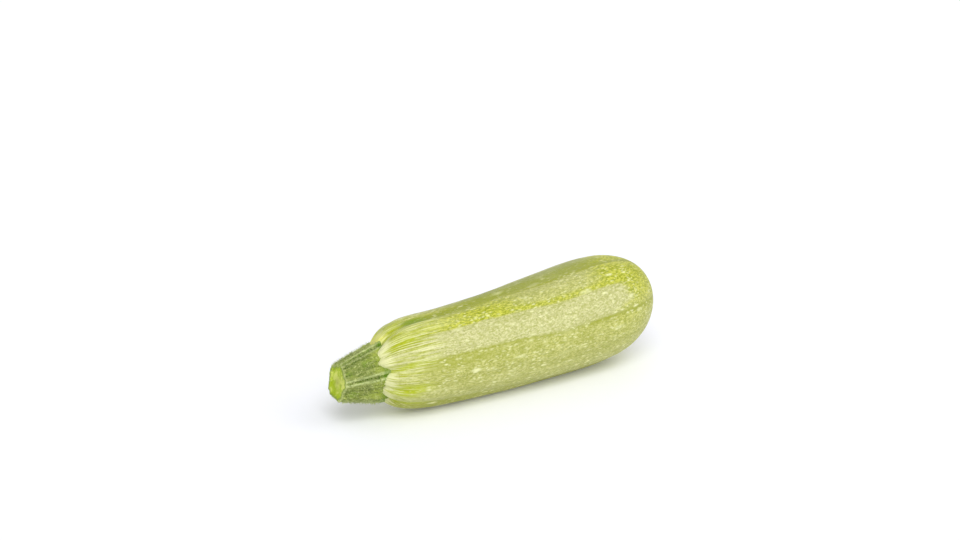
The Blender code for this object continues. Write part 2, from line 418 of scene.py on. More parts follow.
def fruit_tree():
    """The whole fruit, wrapped from a ball so that its seam and poles are closed."""
    nodes, given = new_shape_tree("courgette fruit", [item[:2] for item in FRUIT_INPUTS])
    share, angle = ball_places(nodes)
    turned = cosine(angle)
    raised = sine(angle)
    along, barrel, plain, to_tip = fruit_outline(nodes, given, share)
    phase = lobe_phase(angle, groove_angle(nodes, along))
    groove = valley(phase, GROOVE_SHARPNESS)
    furrow = valley(phase * 2.0, FURROW_SHARPNESS) * (1.0 - groove)
    hollow = lobe_hollow(nodes, given, along, plain, groove, furrow)
    inset = skin_depth(nodes, turned, raised, along, plain)
    radius = plain * (1.0 - hollow) - inset * nodes.ease(plain, 0.0, SCAR_RADIUS)

    across = turned * radius * -1.0
    rise = raised * radius
    slant = nodes.ease(along, SLANT_REACH, 0.0)
    shift = end_relief(nodes, along, plain, groove, furrow)
    shift = shift + slant * (across * SHOULDER_SLANT[0] + rise * SHOULDER_SLANT[1])
    ends = (along / given["Length"] * 2.0 - 1.0) ** 2.0
    y = ends * END_SWEEP + across
    lowered = SPOT_DEPTH + SWELL_DEPTH / 2
    z = barrel - lowered + ends * END_RISE + to_tip * to_tip * BLOSSOM_LIFT + rise
    point = nodes.vector(along + shift - given["Length"] * 0.5, y, z.maths("MAXIMUM", z, 0.0))

    form = ball(nodes, given)
    form = keep_vector(nodes, form, "place", nodes.vector(turned, raised, along))
    lobes = nodes.vector(cosine(phase), sine(phase), plain * (1.0 / BELLY_RADIUS))
    form = keep_vector(nodes, form, "lobes", lobes)
    form = nodes.add("GeometryNodeSetPosition", {}, {"Geometry": form, "Position": point})
    close_shape_tree(nodes, form, given["Finish"])
    return nodes.tree


STEM_INPUTS = (
    ("Cut radius", "NodeSocketFloat", STEM_CUT_RADIUS),
    ("Joint radius", "NodeSocketFloat", STEM_JOINT_RADIUS),
    ("Ridge", "NodeSocketFloat", STEM_RIDGE),
    ("Notch", "NodeSocketFloat", STEM_RIDGE_NOTCH),
    ("Sides", "NodeSocketInt", STEM_SIDES),
    ("Rings", "NodeSocketInt", STEM_RINGS),
    ("Finish", "NodeSocketMaterial", None),
)


def stem_centre():
    """(Y, Z) of the stem's axis where it leaves the fruit."""
    ends = (2.0 * STEM_JOINT / FRUIT_LENGTH - 1.0) ** 2
    y = END_SWEEP * ends + STEM_ASIDE
    z = NECK_RADIUS - SPOT_DEPTH + END_RISE * ends - STEM_BELOW
    return y, z


def stem_section(nodes, given, angle, phase, along, root):
    """The stem's outline round its axis, about 1: raised corners with a notch, and faint ribs."""
    corner = (valley(phase, STEM_RIDGE_SHARPNESS) - STEM_RIDGE_MIDDLE) * given["Ridge"]
    notch = valley(phase, STEM_NOTCH_SHARPNESS) * (1.0 - root) * given["Notch"]
    rib = cosine((angle - GROOVE_ANGLE) * STEM_RIB_COUNT) * STEM_RIB
    edge_starts = -STEM_OUT + CUT_EDGE_SOFT * STEM_OUT
    cut_edge = nodes.ease(along, edge_starts, -STEM_OUT) * CUT_EDGE_SOFT
    return corner - notch + rib - cut_edge + 1.0


def stem_relief(nodes, turned, raised, along, place):
    """How deep the hollows between the fine ridges are, and those between the pimples."""
    lengthwise = nodes.vector(turned * RIDGE_CIRCLE, raised * RIDGE_CIRCLE, along * RIDGE_WAVES)
    ridge_noise = nodes.noise(lengthwise, 1.0, detail=3.0, roughness=0.65)
    pimple_noise = nodes.noise(place, PIMPLE_SIZE, detail=1.0)
    ridges = nodes.ease(ridge_noise, *HOLLOW_NOISE) * RIDGE_DEPTH
    return ridges, nodes.ease(pimple_noise, *HOLLOW_NOISE) * PIMPLE_DEPTH


def cut_relief(nodes, side, face, place):
    """How far the cut lies inwards: a dish with a raised heart, and a torn rim."""
    dish = nodes.ease(face, CUT_RIM, CUT_DISH_EDGE) * CUT_DISH
    heart = nodes.ease(face, CUT_HEART, 0.0) * -0.5 + 1.0
    near_cut = nodes.ease(side, CUT_TEAR_STARTS, 1.0)
    tear = nodes.noise(place, PIMPLE_SIZE / 2, detail=2.0) * near_cut * CUT_TEAR
    return dish * heart, tear


def stem_tree():
    """The stem from inside the fruit to its cut, five-cornered, notched, ribbed and dished at the cut."""
    nodes, given = new_shape_tree("courgette stem", [item[:2] for item in STEM_INPUTS])
    share, angle = ball_places(nodes)
    turned = cosine(angle)
    raised = sine(angle)
    side = nodes.share(share, ROOT_SHARE, CUT_SHARE)
    along = side * (-STEM_OUT - STEM_START) + STEM_START
    face = nodes.share(share, 0.0, ROOT_SHARE) * nodes.share(share, 1.0, CUT_SHARE)
    out = nodes.share(along, STEM_JOINT, -STEM_OUT)
    root = nodes.ease(along, STEM_JOINT, STEM_ROOT)
    plain = given["Joint radius"] + (given["Cut radius"] - given["Joint radius"]) * out
    plain = plain + (STEM_ROOT_RADIUS - plain) * root

    place = nodes.vector(turned * plain, raised * plain, along)
    phase = lobe_phase(angle, GROOVE_ANGLE + GROOVE_HOOK)
    section = stem_section(nodes, given, angle, phase, along, root)
    ridges, pimples = stem_relief(nodes, turned, raised, along, place)
    radius = (plain * section - ridges - pimples) * face
    across = turned * radius * -1.0
    rise = raised * radius
    slant_across = out * (CUT_SLANT[0] - SHOULDER_SLANT[0]) + SHOULDER_SLANT[0]
    slant_rise = out * (CUT_SLANT[1] - SHOULDER_SLANT[1]) + SHOULDER_SLANT[1]
    dish, tear = cut_relief(nodes, side, face, place)
    shift = slant_across * across + slant_rise * rise + dish + tear
    centre_y, centre_z = stem_centre()
    z = out * -STEM_DROOP + rise + centre_z
    point = nodes.vector(along + shift - FRUIT_LENGTH / 2, across + centre_y, z)

    form = ball(nodes, given)
    form = keep_vector(nodes, form, "place", nodes.vector(turned, raised, along))
    form = keep_vector(nodes, form, "lobes", nodes.vector(cosine(phase), sine(phase), face))
    form = nodes.add("GeometryNodeSetPosition", {}, {"Geometry": form, "Position": point})
    form = nodes.add("GeometryNodeFlipFaces", {}, {"Mesh": form}, "Mesh")
    close_shape_tree(nodes, form, given["Finish"])
    return nodes.tree


HAIR_INPUTS = (
    ("Skin", "NodeSocketGeometry", None),
    ("Hairs per area", "NodeSocketFloat", HAIR_COUNT_PER_AREA),
    ("Hair length", "NodeSocketFloat", HAIR_LENGTH),
    ("Hair radius", "NodeSocketFloat", HAIR_RADIUS),
    ("Seed", "NodeSocketInt", HAIR_SEED),
    ("Finish", "NodeSocketMaterial", None),
)


def kept_vector(nodes, name):
    settings = {"data_type": "FLOAT_VECTOR"}
    return nodes.add("GeometryNodeInputNamedAttribute", settings, {"Name": name}, "Attribute")


def hair_tree():
    """Short stiff hairs on the stem's sides, thickest along its corners."""
    nodes, given = new_shape_tree("stem hairs", [item[:2] for item in HAIR_INPUTS])
    _, _, along = nodes.parts(kept_vector(nodes, "place"))
    corner, _, face = nodes.parts(kept_vector(nodes, "lobes"))
    outside = nodes.ease(along, STEM_JOINT, HAIR_STARTS) * nodes.ease(face, 0.97, 1.0)
    outside = outside * nodes.ease(along, -STEM_OUT + HAIR_FREE_EDGE, -STEM_OUT + 2 * HAIR_FREE_EDGE)
    at_corner = HAIR_FEWEST + (1.0 - HAIR_FEWEST) * nodes.ease(corner, 0.2, 0.9)
    density = given["Hairs per area"] * outside * at_corner
    values = {"Mesh": given["Skin"], "Density": density, "Seed": given["Seed"]}
    points = nodes.add("GeometryNodeDistributePointsOnFaces", {}, values, "Points")
    tilt = {"Min": (-HAIR_TILT,) * 3, "Max": (HAIR_TILT,) * 3, "Seed": given["Seed"]}
    random_tilt = nodes.add("FunctionNodeRandomValue", {"data_type": "FLOAT_VECTOR"}, tilt, "Value")
    upright = points.output("Normal")
    leaning = nodes.add("ShaderNodeVectorMath", {"operation": "ADD"}, {0: upright, 1: random_tilt})
    turn = nodes.add("FunctionNodeAlignRotationToVector", {"axis": "Z"}, {"Vector": leaning})
    sizes = {"Min_001": HAIR_SIZES[0], "Max_001": HAIR_SIZES[1], "Seed": given["Seed"]}
    size = nodes.add("FunctionNodeRandomValue", {"data_type": "FLOAT"}, sizes, "Value_001")
    cone = {
        "Vertices": HAIR_SIDES,
        "Radius Top": 0.0,
        "Radius Bottom": given["Hair radius"],
        "Depth": given["Hair length"],
    }
    hair = nodes.add("GeometryNodeMeshCone", {}, cone, "Mesh")
    values = {"Points": points, "Instance": hair, "Rotation": turn, "Scale": size}
    hairs = nodes.add("GeometryNodeInstanceOnPoints", {}, values)
    close_shape_tree(nodes, hairs, given["Finish"])
    return nodes.tree


def grow(name, tree, inputs, finish, start=None):
    """Runs a tree once and keeps its result as a plain mesh."""
    mesh = start or bpy.data.meshes.new(name)
    piece = bpy.data.objects.new(name, mesh)
    bpy.context.scene.collection.objects.link(piece)
    modifier = piece.modifiers.new("Form", "NODES")
    modifier.node_group = tree
    sockets = [item for item in tree.interface.items_tree if item.in_out == "INPUT"]
    for socket, (_, kind, value) in zip(sockets, inputs):
        if kind == "NodeSocketMaterial":
            modifier[socket.identifier] = finish
        elif kind != "NodeSocketGeometry":
            modifier[socket.identifier] = value
    needed = bpy.context.evaluated_depsgraph_get()
    result = bpy.data.meshes.new_from_object(
        piece.evaluated_get(needed), preserve_all_data_layers=True, depsgraph=needed
    )
    piece.modifiers.remove(modifier)
    piece.data = result
    return piece


def corners(mesh):
    """The lowest and highest corner of a mesh."""
    points = [vertex.co for vertex in mesh.vertices]
    low = Vector(min(point[axis] for point in points) for axis in range(3))
    high = Vector(max(point[axis] for point in points) for axis in range(3))
    return low, high


def place_by_frame(fruit, others):
    """Moves the meshes so that the blossom end and the middle of the fruit lie where its solid has them."""
    low, high = corners(fruit.data)
    solid_low, solid_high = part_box("fruit")
    middle = (solid_low.y + solid_high.y - low.y - high.y) / 2
    step = Vector((solid_high.x - high.x, middle, 0.0))
    for piece in (fruit, *others):
        for vertex in piece.data.vertices:
            vertex.co += step


# Finishes, with colours as they are on a screen

# Pale lobe colours, which also carry painted sheen on the side that faces the light
PALE_AND_SHEEN_DARK = colour(189, 190, 125)
PALE_AND_SHEEN_LIGHT = colour(221, 219, 162)
GREEN_DARK = colour(150, 160, 16)
GREEN_LIGHT = colour(218, 219, 86)
SOFT_DARK = colour(168, 172, 84)
SOFT_LIGHT = colour(207, 207, 129)
YELLOW_DARK = colour(150, 160, 22)
YELLOW_LIGHT = colour(212, 213, 86)
CREAM = colour(237, 238, 178)
# Painted shade along the top of the fruit
TOP_SHADE = colour(136, 146, 26)
SPECK = colour(240, 241, 182)
FLAME = colour(182, 194, 30)
# Near-white painted highlight on the lobe tips that face the light
KNUCKLE_HIGHLIGHT = colour(254, 254, 193)
YELLOW_TIP = colour(234, 234, 118)
PIT = colour(126, 136, 48)
# Olive for the lines, wrinkles and net, and for painted shade on the underside
OLIVE_AND_SHADE = colour(158, 164, 56)
CREST = colour(228, 231, 148)
THREAD = colour(170, 178, 34)
VIVID_LINE = colour(148, 158, 4)
DARK_PATCH = colour(130, 158, 0)
CORK = colour(190, 176, 120)
CORK_DARK = colour(138, 122, 70)
CORK_RIM = colour(206, 200, 138)

# Sides of the fruit that markings, painted sheen and painted shade face, as angles round its axis
SHEEN_SIDE = math.radians(32)
GREEN_SIDE = math.radians(66)
CREST_SIDE = math.radians(68)
LINE_SIDE = math.radians(85)
# painted shade along the top
TOP_SHADE_SIDE = math.radians(102)
BACK_LOBE_SIDE = math.radians(122)
LOW_PATCH_SIDE = math.radians(-20)
# painted shade on the underside
UNDERSIDE_SHADE_SIDE = math.radians(-70)

# Stretches along the fruit: where a marking begins, is full, starts to fade and ends
CALM_STRETCH = (0.058, 0.082, 0.106, 0.126)
# painted shade along the top
TOP_SHADE_STRETCH = (0.020, 0.060, 0.112, 0.140)
BELOW_STRETCH = (0.010, 0.020, 0.036, 0.064)
FRESH_STRETCH = (0.0055, 0.0085, 0.0110, 0.0200)
CREST_STRETCH = (0.008, 0.016, 0.022, 0.046)
LINE_STRETCH = (0.012, 0.021, 0.021, 0.080)
PATCH_STRETCH = (0.012, 0.021, 0.021, 0.031)

# Ends of a marking along the fruit: where it is nothing, then where it is full
NEAR_STEM = (0.020, 0.009)
GREEN_WEAKENS = (0.040, 0.020)
BLOSSOM_YELLOW = (0.118, 0.129)
GROOVE_DARKENS = (0.085, 0.115)
TIP_CAPS = (0.0082, 0.0050)
SAP_STARTS = (0.002, 0.005)
SAP_FADES = (0.026, 0.010)
THREADS_START = (0.002, 0.006)
THREADS_FADE = (0.024, 0.008)
SCAR_HALF = (0.08, 0.09)

# How far these ends wander, in metres: with the clouds, the wrinkles, the threads or the lobes, or upwards
FLAMES_LONGER_ABOVE = 0.012
THREADS_LONGER_ABOVE = 0.010
YELLOW_CLOUDS = 0.028
YELLOW_WRINKLES = 0.020
YELLOW_LOBES = 0.006
CAP_THREADS = 0.0060
SAP_LATER_IN_MIDDLE = 0.0030

# How thin the lines in grooves, in furrows and down the middle of lobes are: the higher, the thinner
GROOVE_LINE_POWER = 34.0
FURROW_LINE_POWER = 10.0
MIDDLE_LINE_POWER = 40.0

# The scar's edge, rim and dark middle, as shares of the belly's radius
SCAR_EDGE = (0.285, 0.235)
SCAR_RIM = (0.16, 0.24)
SCAR_MIDDLE = (0.075, 0.030)

# Sizes of the skin's patterns, in waves or cells in a metre
CLOUD_SIZE = 90.0
DRAWN_SIZE = 340.0
WRINKLE_SIZE = 520.0
NET_SIZE = 1350.0
MOTTLE_SIZE = 1450.0
GRAIN_SIZE = 1900.0

# How far patterns are drawn out along the fruit: the smaller, the longer
WRINKLE_STRETCH = 0.22
NET_STRETCH = 0.65

# Streaks and threads: radius of the circle that the noise is read on, and its waves in a metre along
STREAKS = (22.0, 50.0)
THREADS = (46.0, 75.0)

RAGGED_PLACES = {
    # how far it is drawn out, then the size and the reach of the push that makes it ragged
    "short": (0.42, 900.0, 0.0009),
    "long": (0.34, 700.0, 0.0013),
}

SPECK_KINDS = (
    # place, cells in a metre, radius, share of the cells that have one, strength, height
    ("short", 900.0, 0.46, 0.66, 0.62, 0.35),
    ("short", 500.0, 0.32, 0.30, 0.85, 0.40),
    ("long", 215.0, 0.27, 0.46, 0.95, 0.40),
)

# What the skin, the stem and the floor share
RELIEF_HEIGHT = 0.00028
SHINE = 0.20


def new_finish(name):
    """A material with its nodes and its shader."""
    material = bpy.data.materials.new(name)
    material.use_nodes = True
    shader = material.node_tree.nodes["Principled BSDF"]
    return material, Nodes(material.node_tree), shader


def link(value, socket):
    value.nodes.tree.links.new(value.socket, socket)


def kept(nodes, name):
    return nodes.add("ShaderNodeAttribute", {"attribute_name": name}, {}, "Vector")


def add_relief(nodes, height, shader):
    """Gives a shader fine relief, with height from 0 to a few."""
    bump = {"Strength": 1.0, "Distance": RELIEF_HEIGHT, "Height": height}
    link(nodes.add("ShaderNodeBump", {}, bump, "Normal"), shader.inputs["Normal"])


def specks(nodes, place, size, radius, chosen_share):
    """Rounded specks of uneven size in some of the cells of a Voronoi pattern."""
    cell = nodes.add("ShaderNodeTexVoronoi", {}, {"Vector": place, "Scale": size}, "Distance")
    chance, spread, _ = nodes.parts(cell.output("Color"))
    reach = radius * (0.55 + 0.9 * spread)
    chosen = nodes.ease(chance, 1.0 - chosen_share, 1.04 - chosen_share)
    return nodes.ease(cell, reach, reach * 0.15) * chosen


def ragged(nodes, place, size, reach):
    """A place moved a little by noise, which makes round specks ragged."""
    values = {"Vector": place, "Scale": size, "Detail": 2.0}
    push = nodes.add("ShaderNodeTexNoise", {}, values, "Color")
    middle = nodes.add("ShaderNodeVectorMath", {"operation": "SUBTRACT"}, {0: push, 1: (0.5,) * 3})
    scaled = nodes.add("ShaderNodeVectorMath", {"operation": "SCALE"}, {0: middle, "Scale": reach})
    return nodes.add("ShaderNodeVectorMath", {"operation": "ADD"}, {0: place, 1: scaled})


class Surface:
    """What a finish is drawn from: the place on a piece, which its points keep, and noise there."""

    def __init__(self, nodes):
        self.nodes = nodes
        self.turned, self.raised, self.along = nodes.parts(kept(nodes, "place"))

    def lengthwise(self, circle, waves, detail, roughness):
        """Noise drawn out along the piece, read on a circle round its axis."""
        place = self.nodes.vector(self.turned * circle, self.raised * circle, self.along * waves)
        return self.nodes.noise(place, 1.0, detail, roughness)


class Skin(Surface):
    """The fruit's surface, with the noises and the shares that several of its markings use."""

    def __init__(self, nodes):
        super().__init__(nodes)
        self.lobe_cos, self.lobe_sin, self.girth = nodes.parts(kept(nodes, "lobes"))
        self.across = self.turned * self.girth * BELLY_RADIUS
        self.upward = self.raised * self.girth * BELLY_RADIUS
        self.ragged_places = {}
        for name, (stretch, size, reach) in RAGGED_PLACES.items():
            self.ragged_places[name] = ragged(nodes, self.place(stretch), size, reach)
        self.read_noises()
        self.find_shares()

    def read_noises(self):
        nodes = self.nodes
        wrinkled = self.place(WRINKLE_STRETCH)
        self.streaks = self.lengthwise(*STREAKS, 2.0, 0.6)
        self.threads = self.lengthwise(*THREADS, 2.0, 0.6)
        self.cloud = nodes.noise(self.place(1.0), CLOUD_SIZE, 3.0, 0.55)
        self.drawn = nodes.noise(wrinkled, DRAWN_SIZE, 2.0, 0.5)
        self.wrinkle = nodes.noise(wrinkled, WRINKLE_SIZE, 2.0, 0.55)
        self.mottle = nodes.noise(self.ragged_places["short"], MOTTLE_SIZE, 2.0, 0.65)
        self.grain = nodes.noise(self.place(1.0), GRAIN_SIZE, 1.0, 0.6)

    def find_shares(self):
        nodes = self.nodes
        self.upper = nodes.ease(self.raised, 0.0, 0.6)
        self.near_stem = nodes.ease(self.along - FLAMES_LONGER_ABOVE * self.upper, *NEAR_STEM)
        self.wander = (self.cloud - 0.5) * 1.2 + (self.streaks - 0.5) * 0.6
        self.fineness = nodes.ease(self.mottle * 0.85 + self.wrinkle * 0.15, 0.38, 0.62)
        self.groove = (0.5 + 0.5 * self.lobe_cos) ** GROOVE_LINE_POWER
        self.middle = (0.5 - 0.5 * self.lobe_cos) ** MIDDLE_LINE_POWER

    def place(self, stretch):
        """The place on the skin in metres. A stretch below 1 draws a pattern out along the fruit."""
        return self.nodes.vector(self.across, self.upward, self.along * stretch)

    def toward(self, side):
        """1 where the skin faces a side, less the further round it lies."""
        return self.turned * math.cos(side) + self.raised * math.sin(side)

    def on(self, begins, full, fades, ends):
        """1 on a stretch of the fruit, and 0 before it begins and after it ends."""
        return self.nodes.ease(self.along, begins, full) * self.nodes.ease(self.along, ends, fades)


def band_shares(skin):
    """How pale and how green the skin is: pale on one half of each lobe, paler still as painted sheen where
    the skin faces the light and less pale along the top as painted shade, green on the upper front.
    """
    nodes = skin.nodes
    sheen = skin.toward(SHEEN_SIDE)
    # Painted sheen: the pale half of each lobe is paler on the side that faces the light, and painted shade
    # makes it less pale along the top
    pale_and_sheen_side = 0.30 + 0.70 * nodes.ease(sheen, 0.72, 0.93) + 0.45 * nodes.ease(sheen, -0.6, -0.95)
    pale_and_sheen_side = pale_and_sheen_side - 0.20 * nodes.ease(skin.raised, 0.80, 0.95)
    half = skin.lobe_sin + skin.wander * 0.30
    pale = nodes.ease(half, -0.12, 0.14) * pale_and_sheen_side
    green = nodes.ease(skin.toward(GREEN_SIDE), 0.80, 0.96)
    strip = nodes.ease(half, -0.80, -0.40) * nodes.ease(skin.lobe_cos, -0.2, -0.5)
    calm = skin.on(*CALM_STRETCH) * (1.0 - 0.85 * strip)
    pale = pale + 0.36 * calm * green
    green = green * (1.0 - 0.75 * calm)
    return pale, green * (1.0 - 0.35 * nodes.ease(skin.along, *GREEN_WEAKENS))


def top_shade_share(skin):
    """Painted shade: a darker band along the top of the fruit."""
    nodes = skin.nodes
    top_shade = nodes.ease(skin.toward(TOP_SHADE_SIDE) + skin.wander * 0.06, 0.76, 0.96)
    top_shade = top_shade * nodes.ease(skin.lobe_sin + skin.wander * 0.2, -0.15, 0.25)
    return top_shade * skin.on(*TOP_SHADE_STRETCH)


def band_colour(skin, top_shade):
    """Pale bands with painted sheen, soft and green bands, and painted shade along the top, each finely
    mottled between a dark and a light tone.
    """
    nodes = skin.nodes
    pale, green = band_shares(skin)
    dark = nodes.mix(pale, nodes.mix(green, SOFT_DARK, GREEN_DARK), PALE_AND_SHEEN_DARK)
    light = nodes.mix(pale, nodes.mix(green, SOFT_LIGHT, GREEN_LIGHT), PALE_AND_SHEEN_LIGHT)
    surface = nodes.mix(skin.fineness, dark, light)
    return nodes.mix(top_shade * (0.48 + 0.40 * skin.fineness), surface, TOP_SHADE)


def mottling(skin, surface):
    """Fine pits, drawn-out wrinkles, a very fine net and an olive painted shade on the underside."""
    nodes = skin.nodes
    surface = nodes.mix(nodes.ease(skin.grain, 0.44, 0.30) * 0.45, surface, PIT)
    pale_wrinkles = nodes.ease(skin.drawn, 0.53, 0.68) * (0.22 - 0.14 * skin.upper)
    surface = nodes.mix(pale_wrinkles, surface, SPECK)
    surface = nodes.mix(nodes.ease(skin.drawn, 0.46, 0.32) * 0.16, surface, OLIVE_AND_SHADE)
    cells = {"Vector": skin.place(NET_STRETCH), "Scale": NET_SIZE}
    cell = nodes.add("ShaderNodeTexVoronoi", {}, cells, "Distance")
    net = nodes.ease(cell, 0.48, 0.74) * (1.0 - 0.7 * skin.near_stem)
    surface = nodes.mix(net * 0.40, surface, OLIVE_AND_SHADE)
    # Painted shade: the underside is darkened towards olive
    low = nodes.ease(skin.toward(UNDERSIDE_SHADE_SIDE), 0.45, 0.95)
    return nodes.mix(low * 0.22, surface, OLIVE_AND_SHADE)


def blossom_end(skin, surface):
    """Yellow-green at the blossom end, most on the upper front, with an uneven border."""
    nodes = skin.nodes
    border = (skin.cloud - 0.5) * YELLOW_CLOUDS + (skin.drawn - 0.5) * YELLOW_WRINKLES
    border = border - YELLOW_LOBES * skin.lobe_sin
    blossom = nodes.ease(skin.along + border, *BLOSSOM_YELLOW)
    yellow = nodes.mix(skin.fineness, YELLOW_DARK, YELLOW_LIGHT)
    yellow_side = 0.18 + 0.82 * nodes.ease(skin.toward(GREEN_SIDE), 0.40, 0.86)
    return nodes.mix(blossom * yellow_side * 0.9, surface, yellow)


def groove_lines(skin, surface):
    """Olive lines in the grooves and down the middle of the lobes, and an olive shade below the grooves."""
    nodes = skin.nodes
    line = nodes.ease(skin.groove * (0.3 + 1.3 * skin.wrinkle), 0.35, 1.0)
    line = line * (0.55 + 0.40 * nodes.ease(skin.raised, 0.6, 0.9))
    line = line + 0.35 * skin.groove * nodes.ease(skin.along, *GROOVE_DARKENS)
    surface = nodes.mix(line, surface, OLIVE_AND_SHADE)
    surface = nodes.mix(skin.middle * 0.15, surface, OLIVE_AND_SHADE)
    below = nodes.ease(skin.lobe_sin, 0.05, -0.35) * nodes.ease(skin.lobe_cos, -0.1, 0.6)
    below = below * skin.on(*BELOW_STRETCH)
    return nodes.mix(below * (0.20 + 0.70 * skin.wrinkle), surface, OLIVE_AND_SHADE)


def shoulder_flames(skin, surface):
    """Green and pale flames off the shoulder, and fresh green patches behind the tips of the lobes."""
    nodes = skin.nodes
    flames = nodes.ease(skin.streaks, 0.50, 0.58) * skin.near_stem
    surface = nodes.mix(flames * (0.30 + 0.28 * skin.upper), surface, FLAME)
    pale_flames = nodes.ease(skin.streaks, 0.47, 0.38) * skin.near_stem
    surface = nodes.mix(pale_flames * 0.75, surface, CREAM)
    high_patches = 0.65 * skin.upper * nodes.ease(skin.cloud + skin.streaks * 0.5, 0.66, 0.80)
    low_patch = nodes.ease(skin.toward(LOW_PATCH_SIDE), 0.975, 0.995) * (0.3 + skin.streaks)
    return nodes.mix(skin.on(*FRESH_STRETCH) * (high_patches + low_patch), surface, FLAME)


def lobe_tips(skin, surface):
    """Pale caps on the tips of the lobes, whitest on the upper front as a painted highlight, and yellow at
    the back.
    """
    nodes = skin.nodes
    between_tips = skin.groove * 0.85 + skin.middle * 0.45
    cap_end = skin.along + (skin.threads - 0.5) * CAP_THREADS
    tips = nodes.ease(cap_end, *TIP_CAPS) * (1.0 - nodes.ease(between_tips, 0.15, 0.95))
    # Painted highlight: the tips are whiter where they face the upper front
    tip_and_highlight = nodes.mix(nodes.ease(skin.toward(GREEN_SIDE), 0.55, 0.85), CREAM, KNUCKLE_HIGHLIGHT)
    back_lobe = nodes.ease(skin.toward(BACK_LOBE_SIDE), 0.60, 0.85)
    tip_and_highlight = nodes.mix(back_lobe, tip_and_highlight, YELLOW_TIP)
    return nodes.mix(tips * (0.78 + 0.4 * skin.threads), surface, tip_and_highlight)


def sap_and_threads(skin, surface):
    """Sappy green between the tips, then cream and yellow-green threads over the shoulder."""
    nodes = skin.nodes
    furrow = (0.5 - 0.5 * skin.lobe_cos) ** FURROW_LINE_POWER + skin.groove
    sap = nodes.ease(furrow, 0.1, 0.7) * nodes.ease(skin.along, *SAP_FADES)
    sap = sap * nodes.ease(skin.along - SAP_LATER_IN_MIDDLE * skin.middle, *SAP_STARTS)
    surface = nodes.mix(sap * (0.50 + 0.8 * skin.streaks), surface, FLAME)
    threaded = nodes.ease(skin.along - THREADS_LONGER_ABOVE * skin.upper, *THREADS_FADE)
    threaded = threaded * nodes.ease(skin.along, *THREADS_START)
    surface = nodes.mix(nodes.ease(skin.threads, 0.53, 0.63) * threaded * 0.80, surface, CREAM)
    return nodes.mix(nodes.ease(skin.threads, 0.48, 0.36) * threaded * 0.90, surface, THREAD)


def upper_shoulder(skin, surface):
    """A pale streaky crest, and above it a vivid green line that starts in a dark patch."""
    nodes = skin.nodes
    crest = nodes.ease(skin.toward(CREST_SIDE), 0.965, 0.995) * skin.on(*CREST_STRETCH)
    crest = crest * (0.12 + 0.66 * nodes.ease(skin.threads, 0.42, 0.60))
    surface = nodes.mix(crest, surface, CREST)
    line = nodes.ease(skin.toward(LINE_SIDE), 0.987, 0.999)
    surface = nodes.mix(line * skin.on(*LINE_STRETCH), surface, VIVID_LINE)
    patch = line * skin.on(*PATCH_STRETCH)
    return nodes.mix(patch * (0.4 + skin.threads), surface, DARK_PATCH)


def speckle(skin, surface, top_shade):
    """Cream specks of three sizes, fewer at the stem and under the painted shade along the top. Gives their
    height too.
    """
    nodes = skin.nodes
    away = (1.0 - skin.near_stem * 0.7) * (1.0 - top_shade * 0.60)
    away = away * (0.55 + 0.65 * nodes.ease(skin.cloud, 0.35, 0.60))
    height = 0.0
    for place, cells, radius, chosen, strength, rise in SPECK_KINDS:
        kind = specks(nodes, skin.ragged_places[place], cells, radius, chosen)
        surface = nodes.mix(kind * strength * away, surface, SPECK)
        height = height + kind * rise
    return surface, height


def corky_scar(skin, surface):
    """The scar of the flower, with a paler rim and a dark middle. Gives where it is too."""
    nodes = skin.nodes
    from_middle = skin.girth + (skin.cloud - 0.5) * 0.06
    scar = nodes.ease(from_middle, *SCAR_EDGE) * nodes.ease(skin.along, *SCAR_HALF)
    cork = nodes.mix(nodes.ease(skin.grain, 0.40, 0.62), CORK_DARK, CORK)
    rim = nodes.ease(from_middle, *SCAR_RIM) * (0.2 + skin.mottle)
    cork = nodes.mix(rim, cork, CORK_RIM)
    cork = nodes.mix(nodes.ease(skin.girth, *SCAR_MIDDLE), cork, CORK_DARK)
    return nodes.mix(scar, surface, cork), scar


MARKINGS = (
    mottling,
    blossom_end,
    groove_lines,
    shoulder_flames,
    lobe_tips,
    sap_and_threads,
    upper_shoulder,
)


def skin_finish():
    """Waxy skin: pale bands with painted sheen, greener bands, painted shade along the top and underside,
    cream specks, flames off the shoulder, fine pits, a corky scar.
    """
    material, nodes, shader = new_finish("courgette_skin")
    skin = Skin(nodes)
    # painted shade along the top of the fruit
    top_shade = top_shade_share(skin)
    surface = band_colour(skin, top_shade)
    for marking in MARKINGS:
        surface = marking(skin, surface)
    surface, speck_height = speckle(skin, surface, top_shade)
    surface, scar = corky_scar(skin, surface)
    link(surface, shader.inputs["Base Color"])

    roughness = 0.28 + 0.12 * skin.grain + 0.10 * skin.mottle + 0.22 * scar
    link(roughness, shader.inputs["Roughness"])
    height = scar * skin.grain * 1.5 + speck_height
    height = height + skin.mottle * 1.6 + skin.wrinkle * 1.2 + skin.grain * 0.4
    height = height + skin.threads * skin.near_stem * 1.6
    add_relief(nodes, height, shader)
    shader.inputs["Specular IOR Level"].default_value = SHINE
    return material


STEM_GREY = colour(150, 162, 82)
STEM_PALE = colour(202, 211, 138)
STEM_CREST = colour(204, 216, 148)
STEM_DULL = colour(104, 124, 50)
STEM_NOTCH = colour(94, 130, 16)
STEM_BRIGHT = colour(150, 180, 66)
STEM_YELLOW = colour(172, 186, 76)
CUT_GREEN = colour(184, 208, 40)
CUT_PALE = colour(228, 238, 118)
CUT_DARK = colour(120, 146, 40)

# The stem's patterns: lengthwise ones as for the skin, the others in waves in a metre
STEM_STREAKS = (15.0, 130.0)
STEM_FLECKS = (13.0, 480.0)
STEM_CLOUD_SIZE = 210.0
STEM_GRAIN_SIZE = 1300.0

